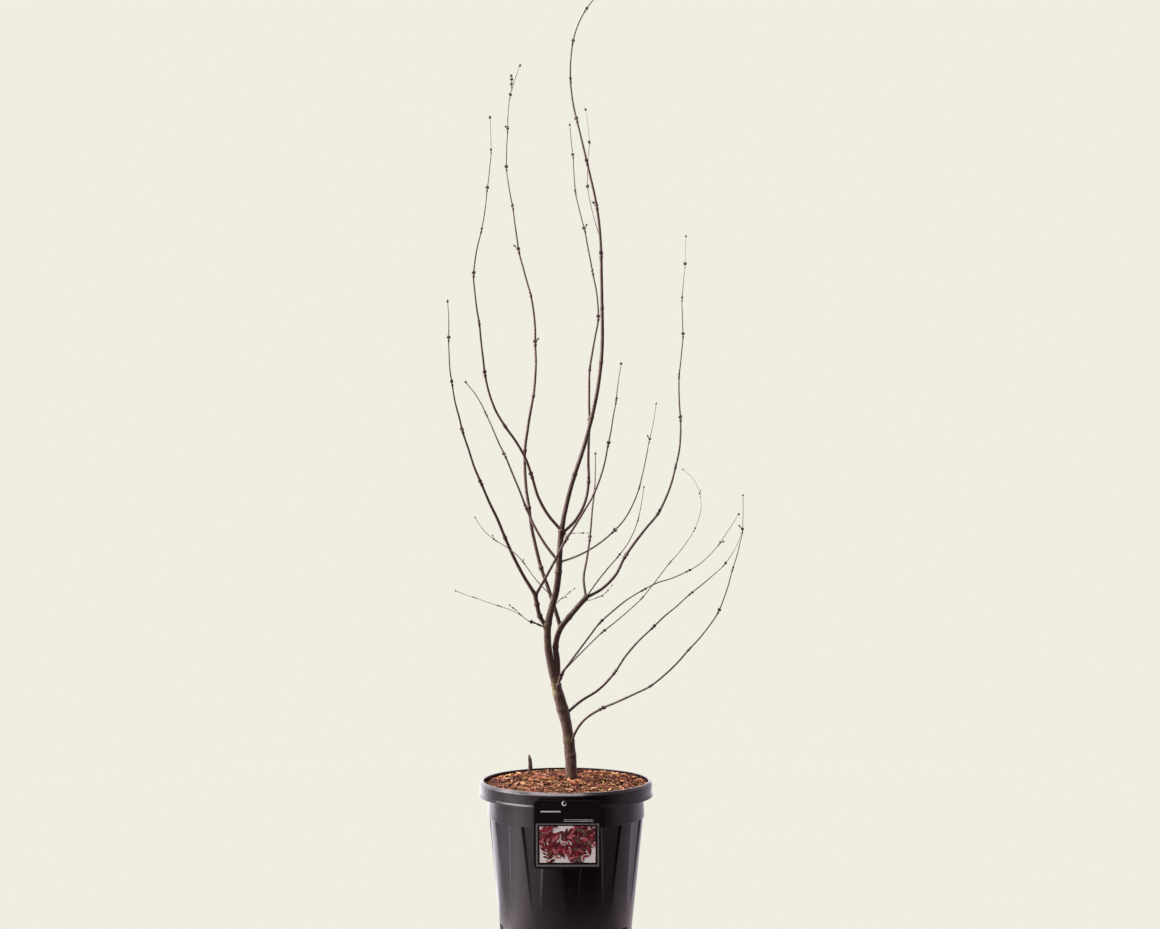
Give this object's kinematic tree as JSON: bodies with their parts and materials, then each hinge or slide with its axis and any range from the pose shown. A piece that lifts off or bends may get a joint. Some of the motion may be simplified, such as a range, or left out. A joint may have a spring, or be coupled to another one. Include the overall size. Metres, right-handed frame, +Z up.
{
  "type": "potted japanese maple",
  "caption": "Young Japanese maple, bare in winter, with a forked trunk and long upright stems, in a round black fluted nursery pot of bark mulch with a hanging card label.",
  "frame": {"origin": "middle of the pot's flat underside", "axes": "+Z up along the pot's axis, -Y towards the front, where the label hangs, +X to the right as seen from the front"},
  "size_m": [0.5172, 0.3779, 1.6591],
  "materials": {
    "pot_plastic": "satin moulded plastic, nearly black",
    "mulch": "matte bark chips over compost",
    "card": "laminated card, satin",
    "pin_plastic": "white moulded plastic",
    "old_wood": "dry dark dead wood",
    "trunk_bark": "smooth grey-tan bark with an olive cast",
    "bough_bark": "smooth dark purple-brown bark",
    "twigs": "smooth maroon-brown young bark"
  },
  "bodies": {
    "root": {"pot": "pot_plastic", "soil": "mulch", "label": "card", "label_pin": "pin_plastic", "cut_stem": "old_wood", "trunk": "trunk_bark", "left_leader": "bough_bark", "right_leader": "bough_bark", "left_bough": "bough_bark", "left_spur": "bough_bark", "low_bough": "bough_bark", "top_bough": "bough_bark", "top_left_bough": "bough_bark", "top_right_bough": "bough_bark", "back_bough": "bough_bark", "left_outer_bough": "bough_bark", "cross_bough": "bough_bark", "left_inner_bough": "bough_bark", "right_inner_bough": "bough_bark", "right_upright_bough": "bough_bark", "right_outer_bough": "bough_bark", "low_right_bough": "bough_bark", "low_front_bough": "bough_bark", "low_near_bough": "bough_bark", "low_far_bough": "bough_bark", "top_twigs": "twigs", "top_left_twigs": "twigs", "top_right_twigs": "twigs", "back_twigs": "twigs", "left_outer_twigs": "twigs", "cross_twigs": "twigs", "left_inner_twigs": "twigs", "right_inner_twigs": "twigs", "right_upright_twigs": "twigs", "right_outer_twigs": "twigs", "low_right_twigs": "twigs", "low_front_twigs": "twigs", "low_near_twigs": "twigs", "low_far_twigs": "twigs", "left_low_twigs": "twigs", "spur_near_twigs": "twigs", "spur_far_twigs": "twigs", "right_fork_twigs": "twigs", "leader_shoot_twigs": "twigs", "fork_shoot_twigs": "twigs", "knob_shoot_twigs": "twigs"}
  },
  "joints": []
}
